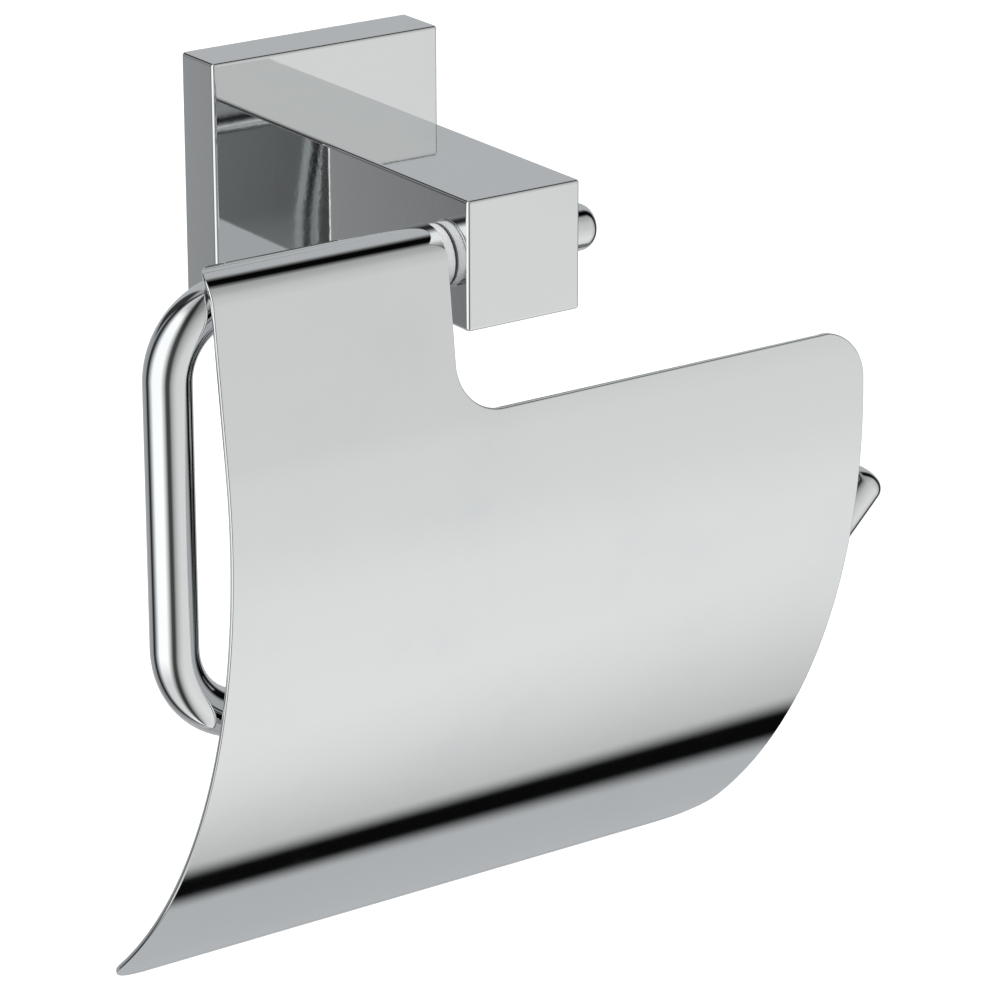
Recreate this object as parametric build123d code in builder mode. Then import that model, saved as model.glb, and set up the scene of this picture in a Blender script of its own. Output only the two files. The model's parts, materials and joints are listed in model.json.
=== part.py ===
from build123d import *
import math
import os

# Toilet paper holder with a lid: a square wall rosette and post, a bent rod that carries the roll,
# and a curved sheet lid that hinges on the rod's top run.
# Frame: millimetres, +Z up, +Y into the wall, +X to the right seen from the room.
# Origin: centre of the rosette, on the wall.

# ---------------------------------------------------------------- driving dimensions
rosette_side = 50.0
rosette_depth = 10.6
rosette_wall = 2.0
rosette_face = 3.0
edge_round = 0.7
cavity_corner = 1.5
rib_height = 3.0
rib_width = 14.0
rib_depth = 6.0
rib_set_in = 0.3
boss_width = 9.0

bracket_thickness = 4.5
bracket_corner = 2.0
bracket_chamfer = 0.5
wall_screw_spacing = 28.0
wall_slot_width = 5.0
wall_slot_length = 8.0

post_side = 24.3
post_reach = 74.7
post_wall = 3.0
post_head = 20.0
post_screw_rise = 6.0
post_boss_diameter = 7.0
post_boss_length = 14.0

rod_diameter = 8.8
rod_set_back = 9.2
rod_overhang = 8.7
rod_end_round = 2.9
arm_offset = 68.8
arm_bend_radius = 13.2
bar_bend_radius = 15.8
bar_drop = 78.0
bar_straight = 119.6
tip_angle = 45.0
tip_bend_radius = 13.0
tip_length = 17.5
rod_flat_depth = 0.6
rod_flat_length = 6.0

cover_sheet = 1.0
cover_width = 140.8
belly_radius = 128.0
belly_drop = 43.4
belly_end_angle = 53.1
curl_wrap = 285.0
curl_relief = 7.4
curl_relief_angle = 140.0
notch_drop = 27.5
notch_radius = 9.5
corner_radius = 10.0
arm_gap = 1.4

bush_wall = 0.75
bush_length = 10.0
bush_flange_thickness = 1.75
bush_flange_rim = 0.6

screw_diameter = 4.0
screw_head_diameter = 7.0
screw_head_height = 2.8
screw_length = 13.0
washer_diameter = 9.0
washer_thickness = 0.8
rosette_grub_diameter = 3.0
rosette_grub_set_in = 2.6
rosette_grub_recess = 0.5
rod_grub_diameter = 5.0
rod_grub_recess = 1.0
grub_point_chamfer = 0.5
small_hex = 1.5
large_hex = 2.5
screw_hex = 2.5
hex_depth = 1.6

# ---------------------------------------------------------------- clearances
running_clearance = 0.05
rod_fit_clearance = 0.03
screw_clearance = 0.25
end_float = 0.15
bracket_boss_gap = 0.5
window_clearance = 1.5
lid_bar_gap = 0.3
tool_margin = 1.0
sheet_tolerance = 0.2

# ---------------------------------------------------------------- places that follow from them
rod_radius = rod_diameter / 2
rod_y = -(post_reach - rod_set_back)
arm_x = -arm_offset
rod_right_end = post_side / 2 + rod_overhang
bar_z = -bar_drop
bar_start = arm_x + bar_bend_radius
bar_end = bar_start + bar_straight

curl_inner = rod_radius + running_clearance + bush_wall
curl_outer = curl_inner + cover_sheet
cover_left = arm_x + rod_radius + arm_gap
cover_right = cover_left + cover_width
curl_right = -(post_side / 2 + 2 * end_float + bush_flange_thickness)
curl_left = cover_left + curl_relief

belly_z = -belly_drop
bar_distance = belly_radius - cover_sheet - lid_bar_gap - rod_radius
belly_y = rod_y + math.sqrt(bar_distance ** 2 - (bar_z - belly_z) ** 2)
centre_distance = math.hypot(rod_y - belly_y, belly_z)
centre_angle = math.degrees(math.atan2(belly_drop, belly_y - rod_y))
lean = centre_angle - math.degrees(math.acos((belly_radius - curl_outer) / centre_distance))

cavity_side = rosette_side - 2 * rosette_wall
cavity_depth = rosette_depth - rosette_face
bracket_side = cavity_side - 2 * rib_height
boss_height = rib_height - bracket_boss_gap
window_width = washer_diameter + 2 * window_clearance
window_height = 2 * post_screw_rise + washer_diameter + 2 * window_clearance

post_back_y = -rosette_depth
post_cavity_side = post_side - 2 * post_wall
post_cavity_end = -(post_reach - post_head)


def polar(centre, radius, angle):
    """The point at a distance and an angle from a centre, in a sketch's own two axes."""
    turn = math.radians(angle)
    return (centre[0] + radius * math.cos(turn), centre[1] + radius * math.sin(turn))


# ---------------------------------------------------------------- wall bracket
# A cast plate under the rosette: two slots for the wall screws and a window that clears the post screws.
with BuildPart() as wall_bracket:
    with BuildSketch(Plane.XZ):
        RectangleRounded(bracket_side, bracket_side, bracket_corner)
        with GridLocations(wall_screw_spacing, 0, 2, 1):
            SlotOverall(wall_slot_length, wall_slot_width, mode=Mode.SUBTRACT)
        RectangleRounded(window_width, window_height, bracket_corner, mode=Mode.SUBTRACT)
    extrude(amount=bracket_thickness)
    chamfer(wall_bracket.faces().sort_by(Axis.Y)[0].outer_wire().edges(), length=bracket_chamfer)

# ---------------------------------------------------------------- rosette
# A square casting, open at the wall. A rib hangs it on the bracket's top edge, and a boss at the bottom
# carries the grub screw that pulls the rib down.
with BuildPart() as rosette:
    with BuildSketch(Plane.XZ):
        Rectangle(rosette_side, rosette_side)
    extrude(amount=rosette_depth)
    fillet(rosette.edges().filter_by(Axis.Y), radius=edge_round)
    fillet(rosette.faces().sort_by(Axis.Y)[0].edges(), radius=edge_round)
    with BuildSketch(Plane.XZ):
        RectangleRounded(cavity_side, cavity_side, cavity_corner)
    extrude(amount=cavity_depth, mode=Mode.SUBTRACT)
    with BuildSketch(Plane.XZ.offset(rib_set_in)):
        with Locations((0, cavity_side / 2)):
            Rectangle(rib_width, rib_height, align=(Align.CENTER, Align.MAX))
        with Locations((0, -cavity_side / 2)):
            Rectangle(boss_width, boss_height, align=(Align.CENTER, Align.MIN))
    extrude(amount=rib_depth)
    with Locations(Plane.XZ.offset(rosette_depth)):
        with GridLocations(0, 2 * post_screw_rise, 1, 2):
            Hole(radius=screw_diameter / 2 + screw_clearance)
    with Locations(Plane((0, -rosette_grub_set_in, -rosette_side / 2), z_dir=(0, 0, -1))):
        Hole(radius=rosette_grub_diameter / 2, depth=rosette_wall + rib_height)

# ---------------------------------------------------------------- rosette grub screw
rosette_grub_top = -bracket_side / 2
rosette_grub_bottom = -(rosette_side / 2 - rosette_grub_recess)
with BuildPart() as rosette_grub_screw:
    with BuildSketch(Plane((0, -rosette_grub_set_in, rosette_grub_bottom))):
        Circle(rosette_grub_diameter / 2)
    extrude(amount=rosette_grub_top - rosette_grub_bottom)
    chamfer(rosette_grub_screw.faces().sort_by(Axis.Z)[-1].edges(), length=grub_point_chamfer)
    with BuildSketch(Plane((0, -rosette_grub_set_in, rosette_grub_bottom))):
        RegularPolygon(small_hex / 2, 6, major_radius=False)
    extrude(amount=hex_depth, mode=Mode.SUBTRACT)

# ---------------------------------------------------------------- post
# A hollow square casting with a solid head for the rod and two long bosses for its screws.
with BuildPart() as post:
    with BuildSketch(Plane.XZ.offset(-post_back_y)):
        Rectangle(post_side, post_side)
    extrude(amount=post_reach + post_back_y)
    fillet(post.edges().filter_by(Axis.Y), radius=edge_round)
    fillet(post.faces().sort_by(Axis.Y)[0].edges(), radius=edge_round)
    with BuildSketch(Plane.XZ.offset(-post_back_y)):
        RectangleRounded(post_cavity_side, post_cavity_side, cavity_corner)
        with GridLocations(0, 2 * post_screw_rise, 1, 2):
            Circle(post_boss_diameter / 2, mode=Mode.SUBTRACT)
    extrude(amount=post_back_y - post_cavity_end, mode=Mode.SUBTRACT)
    with BuildSketch(Plane.XZ.offset(-post_back_y)):
        with GridLocations(0, 2 * post_screw_rise, 1, 2):
            Circle(screw_diameter / 2)
    extrude(amount=post_boss_length, mode=Mode.SUBTRACT)
    with Locations(Plane((post_side / 2, rod_y, 0), z_dir=(1, 0, 0))):
        Hole(radius=rod_radius + rod_fit_clearance)
    with Locations(Plane((0, rod_y, -post_side / 2), z_dir=(0, 0, -1))):
        Hole(radius=rod_grub_diameter / 2, depth=post_side / 2)

# ---------------------------------------------------------------- post screws and washers
screw_seat_y = -cavity_depth
with BuildPart() as post_screws:
    with BuildSketch(Plane.XZ.offset(-(screw_seat_y + washer_thickness + screw_head_height))):
        with GridLocations(0, 2 * post_screw_rise, 1, 2):
            Circle(screw_head_diameter / 2)
    extrude(amount=screw_head_height)
    with BuildSketch(Plane.XZ.offset(-(screw_seat_y + washer_thickness))):
        with GridLocations(0, 2 * post_screw_rise, 1, 2):
            Circle(screw_diameter / 2)
    extrude(amount=screw_length)
    with BuildSketch(Plane.XZ.offset(-(screw_seat_y + washer_thickness + screw_head_height))):
        with GridLocations(0, 2 * post_screw_rise, 1, 2):
            RegularPolygon(screw_hex / 2, 6, major_radius=False)
    extrude(amount=hex_depth, mode=Mode.SUBTRACT)

with BuildPart() as post_screw_washers:
    with BuildSketch(Plane.XZ.offset(-(screw_seat_y + washer_thickness))):
        with GridLocations(0, 2 * post_screw_rise, 1, 2):
            Circle(washer_diameter / 2)
            Circle(screw_diameter / 2 + screw_clearance, mode=Mode.SUBTRACT)
    extrude(amount=washer_thickness)

# ---------------------------------------------------------------- hanger rod
# One bent rod: top run through the post, arm down at the left, roll bar, and a tip turned up.
tip_turn = math.radians(tip_angle)
tip_bend_end = (bar_end + tip_bend_radius * math.sin(tip_turn),
                bar_z + tip_bend_radius * (1 - math.cos(tip_turn)))
tip_end = (tip_bend_end[0] + tip_length * math.cos(tip_turn),
           tip_bend_end[1] + tip_length * math.sin(tip_turn))
with BuildPart() as hanger_rod:
    with BuildLine(Plane.XZ.offset(-rod_y)):
        Line((rod_right_end, 0), (arm_x + arm_bend_radius, 0))
        CenterArc((arm_x + arm_bend_radius, -arm_bend_radius), arm_bend_radius, 90, 90)
        Line((arm_x, -arm_bend_radius), (arm_x, bar_z + bar_bend_radius))
        CenterArc((bar_start, bar_z + bar_bend_radius), bar_bend_radius, 180, 90)
        Line((bar_start, bar_z), (bar_end, bar_z))
        CenterArc((bar_end, bar_z + tip_bend_radius), tip_bend_radius, 270, tip_angle)
        Line(tip_bend_end, tip_end)
    with BuildSketch(Plane((rod_right_end, rod_y, 0), z_dir=(-1, 0, 0))):
        Circle(rod_radius)
    sweep()
    fillet(hanger_rod.faces().filter_by(GeomType.PLANE).edges(), radius=rod_end_round)
    with BuildSketch(Plane.XY.offset(-rod_radius - tool_margin)):
        with Locations((0, rod_y)):
            Rectangle(rod_flat_length, rod_diameter)
    extrude(amount=tool_margin + rod_flat_depth, mode=Mode.SUBTRACT)

# ---------------------------------------------------------------- rod grub screw
rod_grub_bottom = -(post_side / 2 - rod_grub_recess)
rod_grub_top = -(rod_radius - rod_flat_depth)
with BuildPart() as rod_grub_screw:
    with BuildSketch(Plane((0, rod_y, rod_grub_bottom))):
        Circle(rod_grub_diameter / 2)
    extrude(amount=rod_grub_top - rod_grub_bottom)
    chamfer(rod_grub_screw.faces().sort_by(Axis.Z)[-1].edges(), length=grub_point_chamfer)
    with BuildSketch(Plane((0, rod_y, rod_grub_bottom))):
        RegularPolygon(large_hex / 2, 6, major_radius=False)
    extrude(amount=hex_depth, mode=Mode.SUBTRACT)

# ---------------------------------------------------------------- cover
# A bent sheet in side view: a curl round the rod, a straight lead, and a long belly arc. Both skins are
# concentric arcs, so the sheet keeps its thickness.
curl_centre = (rod_y, 0)
belly_centre = (belly_y, belly_z)
front_angle = 180 - lean
free_angle = front_angle - curl_wrap
belly_turn = lean + belly_end_angle
curl_skin_points = [polar(curl_centre, radius, front_angle) for radius in (curl_outer, curl_inner)]
belly_skin_points = [polar(belly_centre, belly_radius - depth, front_angle) for depth in (0, cover_sheet)]
with BuildPart() as cover:
    with BuildSketch(Plane.YZ.offset(cover_left)):
        with BuildLine():
            CenterArc(curl_centre, curl_outer, free_angle, curl_wrap)
            Line(curl_skin_points[0], belly_skin_points[0])
            CenterArc(belly_centre, belly_radius, front_angle, belly_turn)
            Line(polar(belly_centre, belly_radius, front_angle + belly_turn),
                 polar(belly_centre, belly_radius - cover_sheet, front_angle + belly_turn))
            CenterArc(belly_centre, belly_radius - cover_sheet, front_angle, belly_turn)
            Line(belly_skin_points[1], curl_skin_points[1])
            CenterArc(curl_centre, curl_inner, free_angle, curl_wrap)
            Line(polar(curl_centre, curl_inner, free_angle), polar(curl_centre, curl_outer, free_angle))
        make_face()
    extrude(amount=cover_width)
    # the notch round the post, with a large inner corner
    with BuildSketch(Plane.XZ) as notch:
        with BuildLine():
            Polyline((curl_right, curl_outer + tool_margin), (curl_right, -notch_drop),
                     (cover_right + tool_margin, -notch_drop),
                     (cover_right + tool_margin, curl_outer + tool_margin), close=True)
        make_face()
        fillet(notch.vertices().group_by(Axis.X)[0].sort_by(Axis.Y)[0], radius=notch_radius)
    extrude(amount=2 * post_reach, mode=Mode.SUBTRACT)
    # the outer corners of the sheet
    through_edges = cover.edges().filter_by(GeomType.LINE).filter_by(
        lambda edge: abs(edge.length - cover_sheet) < sheet_tolerance and edge.center().Z < -notch_drop / 2)
    side_groups = through_edges.group_by(Axis.X)
    fillet(side_groups[0] + side_groups[-1], radius=corner_radius)
    # the curl stops short at the left, where the rod starts to bend, and its upper corner is rounded
    relief_y = rod_y + curl_outer * math.cos(math.radians(curl_relief_angle))
    relief_height = curl_outer + tool_margin
    with BuildSketch():
        with Locations((cover_left - tool_margin, relief_y)):
            Rectangle(tool_margin + curl_relief, 3 * curl_outer, align=(Align.MIN, Align.MIN))
        with Locations((curl_left, relief_y)):
            Circle(curl_relief, mode=Mode.SUBTRACT)
    extrude(amount=relief_height, mode=Mode.SUBTRACT)
    with BuildSketch():
        with Locations((cover_left - tool_margin, relief_y)):
            Rectangle(tool_margin + curl_relief, 3 * curl_outer, align=(Align.MIN, Align.MIN))
    extrude(amount=-relief_height, mode=Mode.SUBTRACT)

# ---------------------------------------------------------------- hinge bushes
# Plastic liners pressed into the curl, running on the rod. The right one has a collar against the post.
bush_left_end = arm_x + arm_bend_radius + end_float
with BuildPart() as left_hinge_bush:
    with BuildSketch(Plane.YZ.offset(bush_left_end)):
        with Locations((rod_y, 0)):
            Circle(curl_inner)
            Circle(rod_radius + running_clearance, mode=Mode.SUBTRACT)
    extrude(amount=bush_length)

with BuildPart() as right_hinge_bush:
    with BuildSketch(Plane.YZ.offset(curl_right - bush_length)):
        with Locations((rod_y, 0)):
            Circle(curl_inner)
    extrude(amount=bush_length)
    with BuildSketch(Plane.YZ.offset(curl_right)):
        with Locations((rod_y, 0)):
            Circle(curl_inner + bush_flange_rim)
    extrude(amount=bush_flange_thickness)
    with Locations(Plane((curl_right, rod_y, 0), z_dir=(1, 0, 0))):
        Hole(radius=rod_radius + running_clearance)

# ---------------------------------------------------------------- write the pieces
pieces = {
    "wall_bracket": wall_bracket,
    "rosette": rosette,
    "rosette_grub_screw": rosette_grub_screw,
    "post": post,
    "post_screws": post_screws,
    "post_screw_washers": post_screw_washers,
    "hanger_rod": hanger_rod,
    "rod_grub_screw": rod_grub_screw,
    "cover": cover,
    "left_hinge_bush": left_hinge_bush,
    "right_hinge_bush": right_hinge_bush,
}
os.makedirs("parts", exist_ok=True)
for name, piece in pieces.items():
    piece.part.label = name
    export_step(piece.part, f"parts/{name}.step")
    print(name, "solids", len(piece.part.solids()), "volume", round(piece.part.volume, 1))
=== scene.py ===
# %% [markdown]
# # A toilet paper holder in polished chrome
# The frame of this object is already made: every part has its size and place. What is left is what the eye
# sees, which is crisp castings with soft edges, a bent rod, a rolled sheet lid, and chrome that mirrors a
# studio. The frame is loaded first, because each piece takes its size from it.

# %% Load the frame
import json
import math

import bmesh
import bpy
from mathutils import Matrix, Vector


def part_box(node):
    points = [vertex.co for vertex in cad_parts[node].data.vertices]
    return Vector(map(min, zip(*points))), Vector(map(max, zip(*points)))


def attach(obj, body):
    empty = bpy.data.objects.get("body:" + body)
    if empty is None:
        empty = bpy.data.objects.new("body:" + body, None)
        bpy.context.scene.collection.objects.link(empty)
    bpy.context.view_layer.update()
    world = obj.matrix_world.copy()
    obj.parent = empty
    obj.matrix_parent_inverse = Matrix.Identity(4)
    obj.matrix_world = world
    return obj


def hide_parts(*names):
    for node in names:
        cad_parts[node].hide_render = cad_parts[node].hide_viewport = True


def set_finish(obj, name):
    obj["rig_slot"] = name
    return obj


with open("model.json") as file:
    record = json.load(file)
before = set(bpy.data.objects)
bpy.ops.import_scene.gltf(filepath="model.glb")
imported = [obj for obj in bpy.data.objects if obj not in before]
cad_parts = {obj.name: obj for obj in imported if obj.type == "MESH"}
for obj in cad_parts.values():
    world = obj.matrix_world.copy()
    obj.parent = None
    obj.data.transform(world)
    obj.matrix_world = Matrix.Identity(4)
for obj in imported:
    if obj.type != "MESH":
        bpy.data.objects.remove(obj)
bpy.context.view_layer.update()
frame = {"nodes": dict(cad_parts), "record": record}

MM = 0.001
past = 1.0 * MM
touch = 0.01 * MM
weld = 0.002 * MM
scene = bpy.context.scene
scene.view_settings.view_transform = "Standard"

# %% [markdown]
# ## Read the sizes that everything follows
# A size that can be measured on the frame is measured there, so that a change to the frame moves the looks
# with it. Only what a box can't say, such as a bend's radius, is given as a number.

# %% Sizes from the frame
rosette_low, rosette_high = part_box("rosette")
post_low, post_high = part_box("post")
rod_low, rod_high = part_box("hanger_rod")
cover_low, cover_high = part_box("cover")
bush_low, bush_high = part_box("right_hinge_bush")
left_bush_low, left_bush_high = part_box("left_hinge_bush")
bracket_low, bracket_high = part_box("wall_bracket")

rod_radius = (rod_high.y - rod_low.y) / 2
rod_y = (rod_high.y + rod_low.y) / 2
arm_x = rod_low.x + rod_radius
bar_z = rod_low.z + rod_radius
bush_radius = (left_bush_high.z - left_bush_low.z) / 2
collar_radius = (bush_high.z - bush_low.z) / 2
curl_radius = cover_high.z
sheet = curl_radius - bush_radius
print("rod radius", round(rod_radius / MM, 2), "sheet", round(sheet / MM, 2), "mm")

# %% [markdown]
# ## Tools for modelling by hand
# Blender's operators act on what is selected. These few helpers select one object, or the faces and edges
# at a known place, so that each later step reads like the menu command it stands for.

# %% Selecting and adding
def only(obj):
    """Make one object the selected and active one."""
    bpy.ops.object.select_all(action="DESELECT")
    obj.select_set(True)
    bpy.context.view_layer.objects.active = obj
    return obj


def placed(name):
    """Name the primitive that was just added, and move its place into its mesh."""
    bpy.ops.object.transform_apply(location=True, rotation=True, scale=True)
    obj = bpy.context.object
    obj.name = name
    obj.data.name = name
    return obj


def block(name, low, high, pivot=None, turn=0.0):
    """A box between two corners, turned about the X axis through a pivot."""
    bpy.ops.object.select_all(action="DESELECT")
    low, high = Vector(low), Vector(high)
    centre = (low + high) / 2
    pivot = centre if pivot is None else Vector(pivot)
    place = pivot + Matrix.Rotation(turn, 3, "X") @ (centre - pivot)
    bpy.ops.mesh.primitive_cube_add(size=1, location=place, rotation=(turn, 0, 0), scale=high - low)
    return placed(name)


def cylinder(name, start, end, radius, sides=64):
    """A round bar from one point to another."""
    bpy.ops.object.select_all(action="DESELECT")
    start, end = Vector(start), Vector(end)
    run = end - start
    bpy.ops.mesh.primitive_cylinder_add(
        vertices=sides, radius=radius, depth=run.length, location=(start + end) / 2,
        rotation=run.to_track_quat("Z", "Y").to_euler())
    return placed(name)


# %% Working in edit mode
def edit(obj, mode="FACE"):
    """Open a piece in edit mode with nothing selected."""
    only(obj)
    bpy.ops.object.mode_set(mode="EDIT")
    bpy.ops.mesh.select_mode(type=mode)
    bpy.ops.mesh.select_all(action="DESELECT")


def leave():
    bpy.ops.object.mode_set(mode="OBJECT")


def pick_faces(obj, test):
    """Select the faces that pass the test."""
    bpy.ops.mesh.select_all(action="DESELECT")
    mesh = bmesh.from_edit_mesh(obj.data)
    for face in mesh.faces:
        face.select_set(test(face))
    bmesh.update_edit_mesh(obj.data)


def pick_edges(obj, test):
    """Select the edges whose two ends pass the test."""
    bpy.ops.mesh.select_all(action="DESELECT")
    mesh = bmesh.from_edit_mesh(obj.data)
    for edge in mesh.edges:
        edge.select_set(test(edge.verts[0].co, edge.verts[1].co))
    bmesh.update_edit_mesh(obj.data)


def round_edges(obj, radius, test, segments=6):
    """Bevel the chosen edges to a radius."""
    edit(obj, "EDGE")
    pick_edges(obj, test)
    bpy.ops.mesh.bevel(offset=radius, segments=segments, profile=0.5, affect="EDGES")
    leave()


# %% Joining, cutting and finishing
def combine(obj, tool, operation):
    """Join a second shape to a piece, or cut it away, and remove the shape."""
    only(obj)
    step = obj.modifiers.new(operation, "BOOLEAN")
    step.operation = operation
    step.solver = "EXACT"
    step.object = tool
    bpy.ops.object.modifier_apply(modifier=step.name)
    bpy.data.objects.remove(tool)


def finish_shell(obj, angle=32):
    """Merge doubles, turn every face outwards, and keep large faces flat beside their soft edges."""
    edit(obj)
    bpy.ops.mesh.select_all(action="SELECT")
    bpy.ops.mesh.remove_doubles(threshold=weld)
    bpy.ops.mesh.normals_make_consistent(inside=False)
    leave()
    bpy.ops.object.shade_smooth_by_angle(angle=math.radians(angle))
    step = obj.modifiers.new("flat_faces", "WEIGHTED_NORMAL")
    step.mode = "FACE_AREA"
    step.weight = 100
    step.keep_sharp = True
    bpy.ops.object.modifier_apply(modifier=step.name)


def soften(obj, width, segments=2, angle=40):
    """A small bevel on every edge sharper than an angle."""
    only(obj)
    step = obj.modifiers.new("soft_edges", "BEVEL")
    step.width = width
    step.segments = segments
    step.limit_method = "ANGLE"
    step.angle_limit = math.radians(angle)
    step.use_clamp_overlap = False
    bpy.ops.object.modifier_apply(modifier=step.name)


def volume(obj):
    """The volume that a closed mesh encloses."""
    mesh = bmesh.new()
    mesh.from_mesh(obj.data)
    size = mesh.calc_volume()
    mesh.free()
    return size


def report(obj, node):
    """Print how far a new piece is from the frame's part, in volume and in its box."""
    low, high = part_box(node)
    corners = [Vector(v.co) for v in obj.data.vertices]
    off = 0.0
    for axis in range(3):
        off = max(off, abs(min(c[axis] for c in corners) - low[axis]))
        off = max(off, abs(max(c[axis] for c in corners) - high[axis]))
    made, wanted = volume(obj), volume(frame["nodes"][node])
    print(obj.name, "faces", len(obj.data.polygons), "volume mm3", round(made / MM ** 3),
          "in the frame", round(wanted / MM ** 3), "box off by", round(off / MM, 3), "mm")


def stand_in(obj, node, body, slot):
    """Let the new piece stand for a part of the frame."""
    report(obj, node)
    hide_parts(node)
    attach(obj, body)
    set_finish(obj, slot)


# %% [markdown]
# ## Rosette
# The square rose is a die casting, hollow behind, and polished before it is plated, so its edges are
# round. It could be a cube with a Solidify modifier, but a casting's face is thicker than its walls. The back
# face could be inset and pushed in, but an inset wider than the round corner folds over itself. So a second
# block, with its own round corners, is cut away from behind.

# %% Rosette
edge_radius = 0.7 * MM
wall = 2.0 * MM
face_thickness = 3.0 * MM
cavity_radius = 1.5 * MM


def is_corner(a, b, low, high):
    """True for the long edges along Y and the four edges of the front face."""
    along_y = abs(a.y - b.y) > (high.y - low.y) / 2
    at_front = max(a.y, b.y) < low.y + touch
    return along_y or at_front


def casting(name, low, high, wall, depth, corner):
    """A square box with round outer edges, and a hollow with round corners cut into its back."""
    obj = block(name, low, high)
    round_edges(obj, edge_radius, lambda a, b: is_corner(a, b, low, high))
    hollow = block("hollow", (low.x + wall, high.y - depth, low.z + wall),
                   (high.x - wall, high.y + past, high.z - wall))
    round_edges(hollow, corner, lambda a, b: abs(a.y - b.y) > depth / 2)
    combine(obj, hollow, "DIFFERENCE")
    return obj


rosette = casting("rosette_casting", rosette_low, rosette_high, wall,
                  rosette_high.y - rosette_low.y - face_thickness, cavity_radius)

# %% [markdown]
# The casting also has a rib at the top, which hangs on the wall bracket, and a boss at the bottom for the
# grub screw. Both are small blocks joined to it, and the screw holes are round bars cut away.

# %% Rosette: rib, boss and holes
rib_height = 3.0 * MM
rib_depth = 6.0 * MM
rib_half_width = 7.0 * MM
boss_half_width = 4.5 * MM
boss_gap = 0.5 * MM
overlap = 0.5 * MM
screw_rise = 6.0 * MM
screw_hole_radius = 2.25 * MM
grub_radius = 1.5 * MM
grub_y = -2.6 * MM
rib_back = -0.3 * MM
cavity_top = rosette_high.z - wall

combine(rosette, block("rib", (-rib_half_width, rib_back - rib_depth, cavity_top - rib_height),
                       (rib_half_width, rib_back, cavity_top + overlap)), "UNION")
combine(rosette, block("boss", (-boss_half_width, rib_back - rib_depth, -cavity_top - overlap),
                       (boss_half_width, rib_back, -cavity_top + rib_height - boss_gap)), "UNION")
for rise in (-screw_rise, screw_rise):
    combine(rosette, cylinder("bore", (0, rosette_low.y - past, rise), (0, rosette_high.y + past, rise),
                              screw_hole_radius), "DIFFERENCE")
combine(rosette, cylinder("bore", (0, grub_y, rosette_low.z - overlap), (0, grub_y, -cavity_top + rib_height),
                          grub_radius), "DIFFERENCE")
finish_shell(rosette)
stand_in(rosette, "rosette", "holder", "chrome_casting")

# %% [markdown]
# ## Post
# The arm is a second casting, hollow up to a solid head. Inside it two long bosses take the screws from the
# rosette. The rod passes through a bore in the head, and a grub screw comes up from below.

# %% Post
post_wall = 3.0 * MM
head = 20.0 * MM
boss_radius = 3.5 * MM
post_screw_radius = 2.0 * MM
boss_bore = 14.0 * MM
rod_fit = 0.03 * MM
rod_grub_radius = 2.5 * MM

post = casting("post_casting", post_low, post_high, post_wall, post_high.y - post_low.y - head, cavity_radius)
for rise in (-screw_rise, screw_rise):
    combine(post, cylinder("boss", (0, post_high.y - boss_gap, rise), (0, post_low.y + head - overlap, rise),
                           boss_radius, 48), "UNION")
    combine(post, cylinder("bore", (0, post_high.y + overlap, rise), (0, post_high.y - boss_bore, rise),
                           post_screw_radius, 48), "DIFFERENCE")
combine(post, cylinder("bore", (post_low.x - overlap, rod_y, 0), (post_high.x + overlap, rod_y, 0),
                       rod_radius + rod_fit, 96), "DIFFERENCE")
combine(post, cylinder("bore", (0, rod_y, post_low.z - overlap), (0, rod_y, 0), rod_grub_radius, 48),
        "DIFFERENCE")
finish_shell(post)
stand_in(post, "post", "holder", "chrome_casting")

# %% [markdown]
# ## Hanger rod
# A rod bender makes this from one straight bar, and so does this cell: a ring is extruded along each
# straight run and spun round the centre of each bend. A bevelled curve would be quicker, but a curve's bends
# are only near to round, and the highlights along chrome show it.

# %% Hanger rod: the bends
arm_bend = 13.2 * MM
bar_bend = 15.8 * MM
tip_bend = 13.0 * MM
tip_angle = math.radians(45)
tip_length = 17.5 * MM
bar_straight = 119.6 * MM
rod_overhang = 8.7 * MM
rod_end_radius = 2.9 * MM
ring_sides = 72
bend_steps = 24
rod_right = post_high.x + rod_overhang
bar_start = arm_x + bar_bend
bar_end = bar_start + bar_straight


def run_on(step):
    """Extrude the selected ring straight on."""
    bpy.ops.mesh.extrude_region_move(TRANSFORM_OT_translate={"value": step})


def bend(centre_x, centre_z, angle, steps=bend_steps):
    """Spin the selected ring round an axis along Y, which takes a leftward run down and then right."""
    bpy.ops.mesh.spin(steps=steps, angle=angle, center=(centre_x, rod_y, centre_z), axis=(0, 1, 0))


bpy.ops.object.select_all(action="DESELECT")
bpy.ops.mesh.primitive_circle_add(vertices=ring_sides, radius=rod_radius, fill_type="NOTHING",
                                  location=(rod_right, rod_y, 0), rotation=(0, math.radians(90), 0))
rod = placed("bent_rod")
edit(rod, "EDGE")
bpy.ops.mesh.select_all(action="SELECT")
run_on((arm_x + arm_bend - rod_right, 0, 0))
bend(arm_x + arm_bend, -arm_bend, math.radians(90))
run_on((0, 0, bar_z + bar_bend + arm_bend))
bend(bar_start, bar_z + bar_bend, math.radians(90))
run_on((bar_straight, 0, 0))
bend(bar_end, bar_z + tip_bend, tip_angle, steps=bend_steps // 2)
run_on((tip_length * math.cos(tip_angle), 0, tip_length * math.sin(tip_angle)))
leave()

# %% [markdown]
# Both ends are closed and turned to a dome on a lathe. Each open ring is filled, and the edge round the new
# face is bevelled almost to its middle. The small flat under the post is where the grub screw bears.

# %% Hanger rod: domed ends and the flat
edit(rod, "EDGE")
bpy.ops.mesh.select_non_manifold(extend=False)
bpy.ops.mesh.edge_face_add()
bpy.ops.mesh.select_mode(type="FACE")
pick_faces(rod, lambda face: len(face.verts) > 4)
bpy.ops.mesh.region_to_loop()
bpy.ops.mesh.bevel(offset=rod_end_radius, segments=10, profile=0.5, affect="EDGES")
leave()

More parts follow.
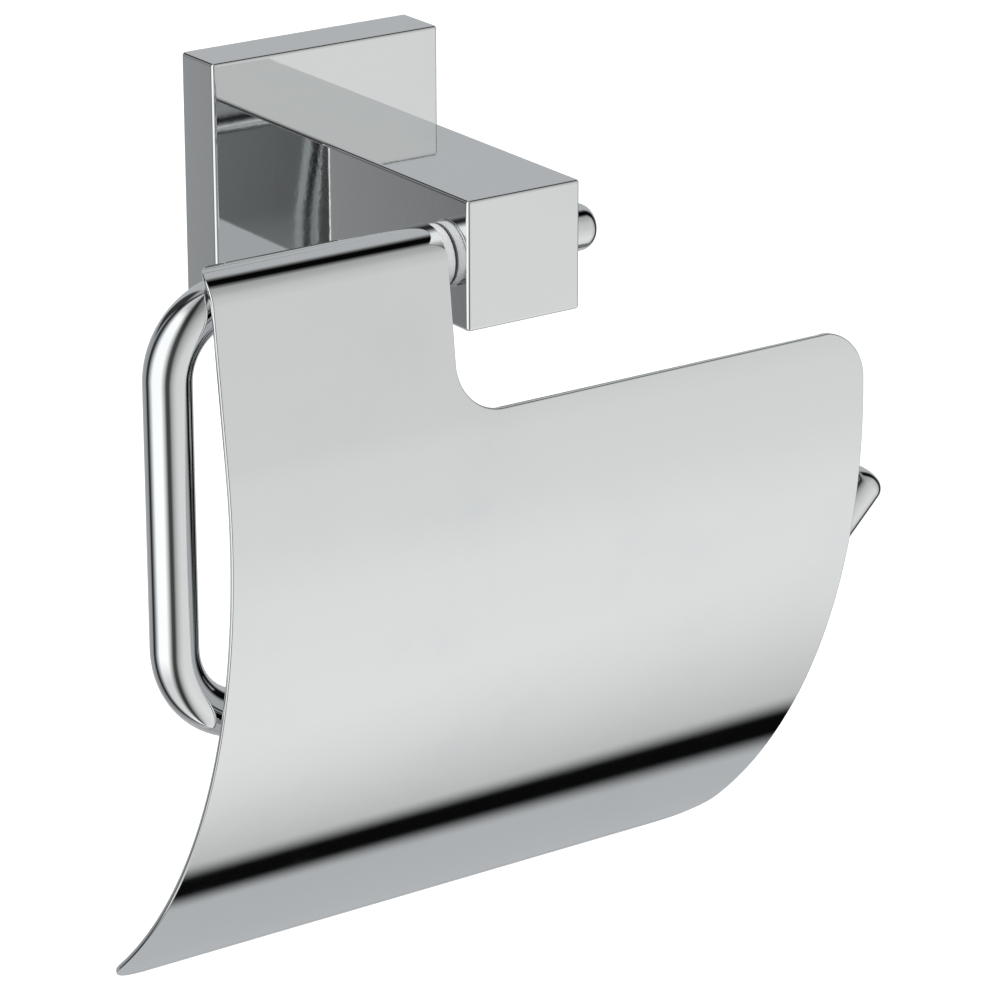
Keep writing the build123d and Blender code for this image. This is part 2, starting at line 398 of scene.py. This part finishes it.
# %% Hanger rod: the flat
flat_depth = 0.6 * MM
flat_half = 3.0 * MM
combine(rod, block("flat", (-flat_half, rod_low.y - overlap, -rod_radius - overlap),
                   (flat_half, rod_high.y + overlap, -rod_radius + flat_depth)), "DIFFERENCE")
finish_shell(rod)
stand_in(rod, "hanger_rod", "holder", "chrome_rod")

# %% [markdown]
# ## Lid
# The lid is one sheet with a rolled edge. In the shop it is cut flat, rolled round a bar at the top, and
# pressed to a long curve. Here the straight stretch between those two is a plane. Its top edge is spun round
# the rod for the roll, and its lower edge is spun round a far axis for the curve, so both meet it without
# a kink.

# %% Lid: the skin
belly_radius = 128.0 * MM
belly_z = -43.4 * MM
belly_end = math.radians(53.1)
curl_wrap = math.radians(285)
lid_bar_gap = 0.3 * MM
bar_distance = belly_radius - sheet - lid_bar_gap - rod_radius
belly_y = rod_y + math.sqrt(bar_distance ** 2 - (bar_z - belly_z) ** 2)
apart = math.hypot(belly_y - rod_y, belly_z)
lean = math.atan2(-belly_z, belly_y - rod_y) - math.acos((belly_radius - curl_radius) / apart)
curl_axis = Vector((0, rod_y, 0))
belly_axis = Vector((0, belly_y, belly_z))
front = math.pi - lean
print("lid leans", round(math.degrees(lean), 2), "degrees")


def around(axis, radius, angle, x=0.0):
    """The point at an angle round an axis along X, where 0 points at the wall and 90 degrees points up."""
    return Vector((x, axis.y + radius * math.cos(angle), axis.z + radius * math.sin(angle)))


lead_top = around(curl_axis, curl_radius, front)
lead_low = around(belly_axis, belly_radius, front)
lead = lead_top - lead_low
lid_middle = (cover_low.x + cover_high.x) / 2
lid_place = (lead_top + lead_low) / 2 + Vector((lid_middle, 0, 0))
bpy.ops.object.select_all(action="DESELECT")
bpy.ops.mesh.primitive_plane_add(size=1, location=lid_place, rotation=(math.atan2(lead.z, lead.y), 0, 0))
bpy.context.object.scale = (cover_high.x - cover_low.x, lead.length, 1)
lid = placed("rolled_lid")

curl_steps = 72
belly_steps = 56
level_within = 0.1 * MM


def on_line(a, b, point):
    """True for an edge along X whose two ends are level with a point."""
    return max(abs(a.z - point.z), abs(b.z - point.z)) < level_within


edit(lid, "EDGE")
pick_edges(lid, lambda a, b: on_line(a, b, lead_top))
bpy.ops.mesh.spin(steps=curl_steps, angle=curl_wrap, center=curl_axis, axis=(1, 0, 0))
pick_edges(lid, lambda a, b: on_line(a, b, lead_low))
bpy.ops.mesh.spin(steps=belly_steps, angle=-(lean + belly_end), center=belly_axis, axis=(1, 0, 0))
bpy.ops.mesh.select_all(action="SELECT")
bpy.ops.mesh.normals_make_consistent(inside=False)
leave()
front_normals = [p.normal.y for p in lid.data.polygons if p.center.z < belly_z / 2]
if sum(front_normals) > 0:
    edit(lid)
    bpy.ops.mesh.select_all(action="SELECT")
    bpy.ops.mesh.flip_normals()
    leave()

# %% Lid: the thickness of the sheet
only(lid)
thickness = lid.modifiers.new("sheet", "SOLIDIFY")
thickness.thickness = sheet
thickness.offset = -1.0
thickness.use_even_offset = True
bpy.ops.object.modifier_apply(modifier=thickness.name)

# %% [markdown]
# The sheet's outline is cut next: a notch that clears the post, round outer corners, and a short relief at
# the left end of the roll, where the rod begins to bend. Each cutter is a block with a round bar taken out
# of it, so that what it leaves behind is a round corner.

# %% Lid: the notch and the corners
notch_z = -27.5 * MM
notch_radius = 9.5 * MM
corner_radius = 10.0 * MM
curl_relief = 7.4 * MM
relief_angle = math.radians(140)
collar_thickness = 1.75 * MM
curl_right = bush_high.x - collar_thickness
cutter_half = 4.0 * MM


def corner_cutter(centre, radius, side, turn, low, high, reach=None):
    """Cuts a round corner. centre is the arc's centre, side is -1 for left, turn tips it about X, low and
    high are its ends along the arc's axis, and reach is how far it goes out along Y."""
    centre = Vector(centre)
    reach = reach or radius + past
    x_range = sorted((centre.x, centre.x + side * (radius + past)))
    tool = block("corner", (x_range[0], centre.y, centre.z + low),
                 (x_range[1], centre.y + reach, centre.z + high), pivot=centre, turn=turn)
    through = Matrix.Rotation(turn, 3, "X") @ Vector((0, 0, 1))
    combine(tool, cylinder("round", centre + through * (low - past), centre + through * (high + past),
                           radius, 128), "DIFFERENCE")
    return tool


notch = block("notch", (curl_right, cover_low.y - past, notch_z),
              (cover_high.x + past, rod_y + 2 * curl_radius, cover_high.z + past))
round_edges(notch, notch_radius, lambda a, b: max(a.x, b.x) < curl_right + past
            and max(a.z, b.z) < notch_z + past, segments=24)
combine(lid, notch, "DIFFERENCE")

end_point = around(belly_axis, belly_radius - sheet / 2, math.pi + belly_end)
down_sheet = Vector((0, math.sin(belly_end), -math.cos(belly_end)))
for side, edge_x in ((-1, cover_low.x), (1, cover_high.x)):
    centre = end_point - down_sheet * corner_radius
    centre.x = edge_x - side * corner_radius
    combine(lid, corner_cutter(centre, corner_radius, side, belly_end - math.pi / 2,
                               -cutter_half, cutter_half), "DIFFERENCE")

top_turn = math.pi / 2 - lean
top_centre = Vector((cover_high.x - corner_radius, cover_low.y + 2 * sheet, notch_z - corner_radius))
combine(lid, corner_cutter(top_centre, corner_radius, 1, top_turn, -cutter_half, cutter_half), "DIFFERENCE")

# %% Lid: the relief at the left end of the roll
relief_y = rod_y + curl_radius * math.cos(relief_angle)
curl_left = cover_low.x + curl_relief
over_curl = curl_radius + past
past_curl = 3 * curl_radius
cut_overlap = 0.2 * MM
combine(lid, corner_cutter((curl_left, relief_y, 0), curl_relief, -1, 0, 0, over_curl, past_curl),
        "DIFFERENCE")
combine(lid, block("relief", (cover_low.x - past, relief_y, -over_curl),
                   (curl_left, relief_y + past_curl, cut_overlap)), "DIFFERENCE")

# %% Lid: soft rims
rim_radius = 0.34 * MM
seam_weld = 0.005 * MM
edit(lid)
bpy.ops.mesh.select_all(action="SELECT")
bpy.ops.mesh.remove_doubles(threshold=seam_weld)
leave()
soften(lid, rim_radius, segments=4, angle=40)
finish_shell(lid, angle=35)
stand_in(lid, "cover", "lid", "chrome_sheet")

# %% [markdown]
# ## Hinge bushes
# Two plastic liners are pressed into the roll, so the lid turns on plastic and not on chrome. The right one
# has a collar that keeps the rolled edge off the post. Each is turned on a lathe, so here a round bar gets
# its collar joined on, and a thinner bar is cut out of both. A tube could also be made by bridging two
# circles, but then the collar's step would need faces of its own.

# %% Hinge bushes
running = 0.05 * MM
bore_radius = rod_radius + running
rim = 0.15 * MM


def liner(name, low_x, high_x, radius, collar=None):
    """A tube along X with an optional collar at its right end, given as radius and thickness."""
    obj = cylinder(name, (low_x, rod_y, 0), (high_x, rod_y, 0), radius, 96)
    if collar:
        flange = cylinder("collar", (high_x - collar[1], rod_y, 0), (high_x, rod_y, 0), collar[0], 96)
        combine(obj, flange, "UNION")
    combine(obj, cylinder("bore", (low_x - past, rod_y, 0), (high_x + past, rod_y, 0), bore_radius, 96),
            "DIFFERENCE")
    soften(obj, rim)
    finish_shell(obj)
    return obj


left_liner = liner("left_liner", left_bush_low.x, left_bush_high.x, bush_radius)
stand_in(left_liner, "left_hinge_bush", "lid", "bush_plastic")
right_liner = liner("right_liner", bush_low.x, bush_high.x, bush_radius, (collar_radius, collar_thickness))
stand_in(right_liner, "right_hinge_bush", "lid", "bush_plastic")

# %% [markdown]
# ## Wall bracket
# The bracket hides under the rosette, but it shows from behind. It is a zinc casting: a plate with two slots
# that forgive a badly drilled hole, and a window that clears the post screws. The edges get a small bevel.

# %% Wall bracket
slot_half_width = 2.5 * MM
slot_half_length = 4.0 * MM
wall_screw_x = 14.0 * MM
window_half_width = 6.0 * MM
window_half_height = 12.0 * MM
plate_corner = 2.0 * MM
plate_edge = 0.5 * MM
nearly_round = 0.999
through_low = bracket_low.y - past
through_high = bracket_high.y + past


def upright(a, b):
    """True for an edge that runs along Y."""
    return abs(a.y - b.y) > past


bracket = block("bracket_plate", bracket_low, bracket_high)
round_edges(bracket, plate_corner, upright)
window = block("window", (-window_half_width, through_low, -window_half_height),
               (window_half_width, through_high, window_half_height))
round_edges(window, plate_corner, upright)
combine(bracket, window, "DIFFERENCE")
for side in (-1, 1):
    slot = block("slot", (side * wall_screw_x - slot_half_length, through_low, -slot_half_width),
                 (side * wall_screw_x + slot_half_length, through_high, slot_half_width))
    round_edges(slot, slot_half_width * nearly_round, upright, segments=12)
    combine(bracket, slot, "DIFFERENCE")
edit(bracket)
bpy.ops.mesh.select_all(action="SELECT")
bpy.ops.mesh.remove_doubles(threshold=touch)
leave()
rim_zone = bracket_high.z - 2 * plate_corner
round_edges(bracket, plate_edge, lambda a, b: max(a.y, b.y) < bracket_low.y + touch
            and max(abs(a.x), abs(a.z)) > rim_zone and max(abs(b.x), abs(b.z)) > rim_zone, segments=3)
finish_shell(bracket)
stand_in(bracket, "wall_bracket", "holder", "bracket_zinc")

# %% [markdown]
# ## Chrome
# Plated chrome mirrors nearly everything, so its look is the room round it. What makes it real is small:
# a faint orange peel left by the polishing wheel, hairline scratches, and a breath of haze where hands
# touch it. The three finishes share one node group that makes those, each with its own amounts.

# %% Shared node group: a handled surface
def link_value(tree, socket, value):
    """Set a socket to a number, or join another node's socket to it."""
    if isinstance(value, bpy.types.NodeSocket):
        tree.links.new(value, socket)
    else:
        socket.default_value = value


def add_node(tree, kind, inputs=None, **settings):
    node = tree.nodes.new(kind)
    for key, value in settings.items():
        setattr(node, key, value)
    for key, value in (inputs or {}).items():
        link_value(tree, node.inputs[key], value)
    return node


def handled_surface():
    """Haze, hairlines and orange peel, as a roughness and a height that vary over the surface."""
    group = bpy.data.node_groups.new("handled_surface", "ShaderNodeTree")
    sockets = group.interface
    for name, value in (("Polish", 0.03), ("Haze", 0.03), ("Hairlines", 0.02), ("Peel Scale", 900.0)):
        sockets.new_socket(name, in_out="INPUT", socket_type="NodeSocketFloat").default_value = value
    sockets.new_socket("Grain", in_out="INPUT", socket_type="NodeSocketVector").default_value = (1, 1, 1)
    for name in ("Roughness", "Height", "Marks"):
        sockets.new_socket(name, in_out="OUTPUT", socket_type="NodeSocketFloat")
    given = group.nodes.new("NodeGroupInput").outputs
    made = group.nodes.new("NodeGroupOutput").inputs
    place = add_node(group, "ShaderNodeTexCoord").outputs["Object"]
    cloud = add_node(group, "ShaderNodeTexNoise", {"Vector": place, "Scale": 38.0, "Detail": 5.0,
                                                   "Roughness": 0.62})
    smear = add_node(group, "ShaderNodeMapRange", {"Value": cloud.outputs["Fac"], "From Min": 0.46,
                                                   "From Max": 0.74}, interpolation_type="SMOOTHSTEP")
    print_size = add_node(group, "ShaderNodeTexNoise", {"Vector": place, "Scale": 210.0, "Detail": 3.0})
    broken = add_node(group, "ShaderNodeMath", {0: smear.outputs["Result"], 1: print_size.outputs["Fac"]},
                      operation="MULTIPLY")
    stretched = add_node(group, "ShaderNodeVectorMath", {0: place, 1: given["Grain"]}, operation="MULTIPLY")
    hair = add_node(group, "ShaderNodeTexNoise", {"Vector": stretched.outputs["Vector"], "Scale": 400.0,
                                                  "Detail": 2.0, "Roughness": 0.7})
    hairline = add_node(group, "ShaderNodeMapRange", {"Value": hair.outputs["Fac"], "From Min": 0.6,
                                                      "From Max": 0.75})
    haze = add_node(group, "ShaderNodeMath", {0: broken.outputs["Value"], 1: given["Haze"],
                                              2: given["Polish"]}, operation="MULTIPLY_ADD")
    rough = add_node(group, "ShaderNodeMath", {0: hairline.outputs["Result"], 1: given["Hairlines"],
                                               2: haze.outputs["Value"]}, operation="MULTIPLY_ADD")
    peel = add_node(group, "ShaderNodeTexNoise", {"Vector": place, "Scale": given["Peel Scale"],
                                                  "Detail": 1.0})
    group.links.new(rough.outputs["Value"], made["Roughness"])
    group.links.new(peel.outputs["Fac"], made["Height"])
    group.links.new(broken.outputs["Value"], made["Marks"])
    return group


surface_group = handled_surface()
made_by_group = [s.name for s in surface_group.interface.items_tree if s.in_out == "OUTPUT"]
print("node group", surface_group.name, "outputs", made_by_group)

# %% [markdown]
# Each chrome gets its own grain: the castings are polished by hand in all directions, the rod is polished
# round its length, and the sheet keeps hairlines along its roll.

# %% Chrome materials
clean_chrome = (0.83, 0.84, 0.84, 1)
hazy_chrome = (0.79, 0.80, 0.81, 1)
peel_height = 0.02 * MM


def empty_material(name):
    """A new material, its node tree and its main shader."""
    material = bpy.data.materials.new(name)
    material.use_nodes = True
    return material, material.node_tree, material.node_tree.nodes["Principled BSDF"]


def marked_finish(name, clean, marked, amounts, depth, metallic=1.0):
    """A finish on the shared group. clean and marked are its colour without and with marks."""
    material, tree, shader = empty_material(name)
    group = add_node(tree, "ShaderNodeGroup", node_tree=surface_group)
    for key, value in amounts.items():
        group.inputs[key].default_value = value
    tint = add_node(tree, "ShaderNodeMix", {"Factor": group.outputs["Marks"]}, data_type="RGBA")
    tint.inputs["A"].default_value = clean
    tint.inputs["B"].default_value = marked
    bump = add_node(tree, "ShaderNodeBump", {"Height": group.outputs["Height"], "Strength": depth,
                                             "Distance": peel_height})
    shader.inputs["Metallic"].default_value = metallic
    tree.links.new(tint.outputs["Result"], shader.inputs["Base Color"])
    tree.links.new(group.outputs["Roughness"], shader.inputs["Roughness"])
    tree.links.new(bump.outputs["Normal"], shader.inputs["Normal"])
    return material, shader


def chrome(name, grain, polish, haze, hairlines, peel_scale, depth):
    """Polished chrome plate, with its own grain."""
    amounts = {"Polish": polish, "Haze": haze, "Hairlines": hairlines, "Peel Scale": peel_scale,
               "Grain": grain}
    return marked_finish(name, clean_chrome, hazy_chrome, amounts, depth)[0]


materials = {
    "chrome_casting": chrome("polished_casting", (1.0, 1.0, 1.0), 0.035, 0.05, 0.02, 700.0, 0.10),
    "chrome_rod": chrome("polished_rod", (1.0, 0.2, 0.2), 0.015, 0.035, 0.015, 900.0, 0.04),
    "chrome_sheet": chrome("polished_sheet", (0.06, 1.0, 1.0), 0.03, 0.05, 0.015, 500.0, 0.06),
}

# %% [markdown]
# ## The plain finishes
# The bracket is raw zinc, dull and faintly mottled, with dark specks where the casting is porous. The screws
# are zinc plated steel. The bushes are moulded acetal, satin and slightly see-through, so light goes a little
# way in.

# %% Zinc, steel and plastic
pore_depth = 0.03 * MM


def cast_zinc():
    """Raw zinc casting: mottled grey, dull, with small pores."""
    material, tree, shader = empty_material("cast_zinc")
    place = add_node(tree, "ShaderNodeTexCoord").outputs["Object"]
    mottle = add_node(tree, "ShaderNodeTexNoise", {"Vector": place, "Scale": 260.0, "Detail": 6.0,
                                                   "Roughness": 0.65})
    pores = add_node(tree, "ShaderNodeTexVoronoi", {"Vector": place, "Scale": 1400.0})
    colour = add_node(tree, "ShaderNodeValToRGB", {"Fac": mottle.outputs["Fac"]})
    colour.color_ramp.elements[0].color = (0.30, 0.31, 0.33, 1)
    colour.color_ramp.elements[1].color = (0.56, 0.57, 0.58, 1)
    rough = add_node(tree, "ShaderNodeMapRange", {"Value": mottle.outputs["Fac"], "To Min": 0.32,
                                                  "To Max": 0.62})
    pit = add_node(tree, "ShaderNodeMapRange", {"Value": pores.outputs["Distance"], "From Max": 0.25})
    bump = add_node(tree, "ShaderNodeBump", {"Height": pit.outputs["Result"], "Strength": 0.35,
                                             "Distance": pore_depth})
    shader.inputs["Metallic"].default_value = 0.9
    tree.links.new(colour.outputs["Color"], shader.inputs["Base Color"])
    tree.links.new(rough.outputs["Result"], shader.inputs["Roughness"])
    tree.links.new(bump.outputs["Normal"], shader.inputs["Normal"])
    return material


def plated_steel():
    """Zinc plated steel, bright grey, with duller and warmer patches where it was handled."""
    amounts = {"Polish": 0.24, "Haze": 0.25, "Hairlines": 0.12, "Peel Scale": 2600.0}
    return marked_finish("zinc_plated_steel", (0.62, 0.63, 0.64, 1), (0.46, 0.45, 0.42, 1), amounts, 0.2)[0]


def moulded_acetal():
    """Natural acetal, satin from the mould, with a little light going in."""
    amounts = {"Polish": 0.3, "Haze": 0.15, "Hairlines": 0.05, "Peel Scale": 3200.0}
    material, shader = marked_finish("moulded_acetal", (0.78, 0.79, 0.80, 1), (0.66, 0.66, 0.67, 1), amounts,
                                     0.25, metallic=0.0)
    shader.inputs["Subsurface Weight"].default_value = 0.1
    shader.inputs["Subsurface Scale"].default_value = 0.5 * MM
    return material


materials["bracket_zinc"] = cast_zinc()
materials["screw_steel"] = plated_steel()
materials["bush_plastic"] = moulded_acetal()

# %% Give every piece its material
node_slots = {part["node"]: part["material_slot"] for part in frame["record"]["subparts"]}


def paint(obj, slot):
    """Put one material on the whole of a piece."""
    if obj.data.materials:
        for index in range(len(obj.data.materials)):
            obj.data.materials[index] = materials[slot]
    else:
        obj.data.materials.append(materials[slot])


for name, node in frame["nodes"].items():
    paint(node, node_slots[name])
for piece in [o for o in scene.objects if o.type == "MESH" and "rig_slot" in o]:
    paint(piece, piece["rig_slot"])
print("materials", sorted(materials))

# %% [markdown]
# ## The studio
# A mirror has no colour of its own, so this is where the chrome is really painted. The room is a world
# shader: bright and white in front, a grey wall behind, a dark gap between two softboxes at the left, and a
# black gap at the right where the front of the room meets the back wall. The gaps are there because
# chrome with no black in it looks like white plastic.

# %% Studio: light by direction
def fill_ramp(ramp, stops):
    """Set a colour ramp's stops, each a position and a colour."""
    while len(ramp.elements) > 1:
        ramp.elements.remove(ramp.elements[0])
    for index, (position, colour) in enumerate(stops):
        element = ramp.elements[0] if index == 0 else ramp.elements.new(position)
        element.position = position
        element.color = (*colour, 1)


def studio_world():
    """A room whose light depends only on the direction that a ray leaves in."""
    world = bpy.data.worlds.new("studio")
    world.use_nodes = True
    tree = world.node_tree
    direction = add_node(tree, "ShaderNodeTexCoord").outputs["Generated"]
    axes = add_node(tree, "ShaderNodeSeparateXYZ", {"Vector": direction}).outputs

    def math_node(kind, a, b=0.0, c=0.0):
        return add_node(tree, "ShaderNodeMath", {0: a, 1: b, 2: c}, operation=kind).outputs["Value"]

    def spread(value, low, high, out_low, out_high, kind="LINEAR"):
        return add_node(tree, "ShaderNodeMapRange", {"Value": value, "From Min": low, "From Max": high,
                                                     "To Min": out_low, "To Max": out_high},
                        interpolation_type=kind).outputs["Result"]

    # how far round the room, from 0 behind through 0.5 in front of the object, left side first
    forward = math_node("MULTIPLY", axes["Y"], -1.0)
    turn = math_node("ARCTAN2", axes["X"], forward)
    share = spread(turn, -math.pi, math.pi, 0.0, 1.0)
    ring = add_node(tree, "ShaderNodeValToRGB", {"Fac": share})
    fill_ramp(ring.color_ramp, [((degrees + 180) / 360, (level,) * 3) for degrees, level in (
        (-180, 0.48), (-160, 0.46), (-150, 0.42), (-146, 0.27), (-141, 0.03), (-132, 0.04), (-125, 0.30),
        (-116, 0.75), (-104, 1.40), (-63, 1.40), (-52, 0.85), (-38, 0.08), (-26, 0.08), (-15, 0.55),
        (0, 0.85), (14, 0.98), (49, 1.0), (59, 0.93), (71, 0.82), (87, 0.68), (110, 0.60), (160, 0.60))])

    # in front, the light is strongest low down and fades towards the ceiling; behind, it is even; the left
    # softbox fades near the floor, so that the lid keeps its outline from the right
    height = spread(axes["Z"], -1.0, 1.0, 0.0, 1.0)
    fade = add_node(tree, "ShaderNodeValToRGB", {"Fac": height})
    fill_ramp(fade.color_ramp, [((z + 1) / 2, (level,) * 3) for z, level in (
        (-0.7, 0.87), (-0.5, 0.85), (-0.34, 0.79), (-0.19, 0.77), (-0.1, 0.715), (0.3, 0.64), (0.42, 0.60),
        (0.54, 0.51), (0.64, 0.45), (0.75, 0.40))])
    behind = spread(axes["Y"], -0.05, 0.25, 0.0, 1.0, "SMOOTHSTEP")
    softbox = spread(axes["X"], -0.6, -0.35, 1.0, 0.0, "SMOOTHSTEP")
    level = spread(math_node("MAXIMUM", behind, softbox), 0.0, 1.0, fade.outputs["Color"], 0.85)
    on_left = spread(axes["X"], -0.3, 0.0, 1.0, 0.0, "SMOOTHSTEP")
    low_down = spread(axes["Z"], -0.75, -0.4, 0.35, 0.0, "SMOOTHSTEP")
    dimmed = math_node("SUBTRACT", 1.0, math_node("MULTIPLY", on_left, low_down))
    lit = math_node("MULTIPLY", math_node("MULTIPLY", ring.outputs["Color"], level), dimmed)

    # the black gap at the right: its middle and its half width along Y change with height
    gap_shape = add_node(tree, "ShaderNodeValToRGB", {"Fac": height})
    fill_ramp(gap_shape.color_ramp, [((z + 1) / 2, (0.5 + middle, half, 0)) for z, middle, half in (
        (-0.85, 0.098, 0.066), (-0.34, 0.18, 0.19), (0.3, 0.05, 0.20), (0.8, -0.175, 0.20))])
    gap_size = add_node(tree, "ShaderNodeSeparateColor", {"Color": gap_shape.outputs["Color"]}).outputs
    offset = math_node("SUBTRACT", math_node("ADD", axes["Y"], 0.5), gap_size["Red"])
    distance = math_node("ABSOLUTE", math_node("DIVIDE", offset, gap_size["Green"]))
    closed = spread(distance, 0.45, 1.8, 0.994, 0.0, "SMOOTHSTEP")
    on_right = spread(axes["X"], 0.0, 0.3, 0.0, 1.0, "SMOOTHSTEP")
    covered = math_node("MULTIPLY", on_right, closed)
    open_light = math_node("MULTIPLY", lit, math_node("SUBTRACT", 1.0, covered))

    # a dark card, behind and above at the left, draws the crisp line along the castings' top edges
    card_middle = -0.22
    from_middle = math_node("ABSOLUTE", math_node("SUBTRACT", axes["X"], card_middle))
    card_across = spread(from_middle, 0.14, 0.24, 0.9, 0.0, "SMOOTHSTEP")
    card_back = spread(axes["Y"], 0.35, 0.5, 0.0, 1.0, "SMOOTHSTEP")
    card_up = spread(axes["Z"], 0.1, 0.25, 0.0, 1.0, "SMOOTHSTEP")
    card = math_node("MULTIPLY", math_node("MULTIPLY", card_across, card_back), card_up)
    light = math_node("MULTIPLY", open_light, math_node("SUBTRACT", 1.0, card))
    tint = add_node(tree, "ShaderNodeMix", {"Factor": behind}, data_type="RGBA")
    tint.inputs["A"].default_value = (0.985, 1.0, 0.995, 1)
    tint.inputs["B"].default_value = (0.955, 0.983, 1.01, 1)
    colour = add_node(tree, "ShaderNodeVectorMath", {0: tint.outputs["Result"], 1: light},
                      operation="MULTIPLY")

    # seen straight on, the room is plain and pale
    studio = add_node(tree, "ShaderNodeBackground", {"Color": colour.outputs["Vector"]})
    plain = add_node(tree, "ShaderNodeBackground", {"Color": (1.0, 1.0, 1.0, 1)})
    seen = add_node(tree, "ShaderNodeLightPath").outputs["Is Camera Ray"]
    mixed = add_node(tree, "ShaderNodeMixShader", {0: seen, 1: studio.outputs[0], 2: plain.outputs[0]})
    output = tree.nodes["World Output"]
    tree.links.new(mixed.outputs[0], output.inputs["Surface"])
    return world


scene.world = studio_world()

# %% [markdown]
# The floor is a plain pale sheet well below the object, which hangs on a wall. It is kept out of the
# mirror's reflections, so the studio alone shapes the chrome. One broad soft lamp overhead lights the floor
# evenly to its far edge.

# %% Studio: floor and lamp
floor_z = -0.75
floor_size = 14.0
lamp_spread = math.radians(120)
lamp_strength = 3.0
bpy.ops.object.select_all(action="DESELECT")
bpy.ops.mesh.primitive_plane_add(size=floor_size, location=(0, 0, floor_z))
floor = placed("floor")
floor_material, floor_tree, floor_shader = empty_material("pale_floor")
floor_place = add_node(floor_tree, "ShaderNodeTexCoord").outputs["Object"]
floor_mottle = add_node(floor_tree, "ShaderNodeTexNoise", {"Vector": floor_place, "Scale": 3.0,
                                                          "Detail": 3.0})
floor_colour = add_node(floor_tree, "ShaderNodeValToRGB", {"Fac": floor_mottle.outputs["Fac"]})
floor_colour.color_ramp.elements[0].color = (0.92, 0.92, 0.92, 1)
floor_colour.color_ramp.elements[1].color = (0.95, 0.95, 0.95, 1)
floor_tree.links.new(floor_colour.outputs["Color"], floor_shader.inputs["Base Color"])
floor_shader.inputs["Roughness"].default_value = 0.9
floor.data.materials.append(floor_material)
floor.visible_glossy = False

lamp_data = bpy.data.lights.new("overhead_softbox", "SUN")
lamp_data.angle = lamp_spread
lamp_data.energy = lamp_strength
lamp = bpy.data.objects.new("overhead_softbox", lamp_data)
lamp.visible_glossy = False
scene.collection.objects.link(lamp)

# %% [markdown]
# ## Camera
# A long lens, far off at the left and above, keeps the square parts square.

# %% Camera
camera_turn = math.radians(-34.867)
camera_rise = math.radians(20.175)
camera_roll = math.radians(-0.042)
camera_distance = 0.8892
camera_lens = 168.316
camera_target = Vector((0.01872, -0.04018, -0.06060))
camera_data = bpy.data.cameras.new("camera")
camera_data.sensor_width = 36.0
camera_data.lens = camera_lens
camera = bpy.data.objects.new("camera", camera_data)
scene.collection.objects.link(camera)
back = Vector((math.sin(camera_turn) * math.cos(camera_rise), -math.cos(camera_turn) * math.cos(camera_rise),
               math.sin(camera_rise)))
right = Vector((math.cos(camera_turn), math.sin(camera_turn), 0))
camera_axes = Matrix((right, back.cross(right), back)).transposed().to_4x4()
camera.matrix_world = (Matrix.Translation(camera_target + back * camera_distance) @ camera_axes
                       @ Matrix.Rotation(camera_roll, 4, "Z"))
scene.camera = camera
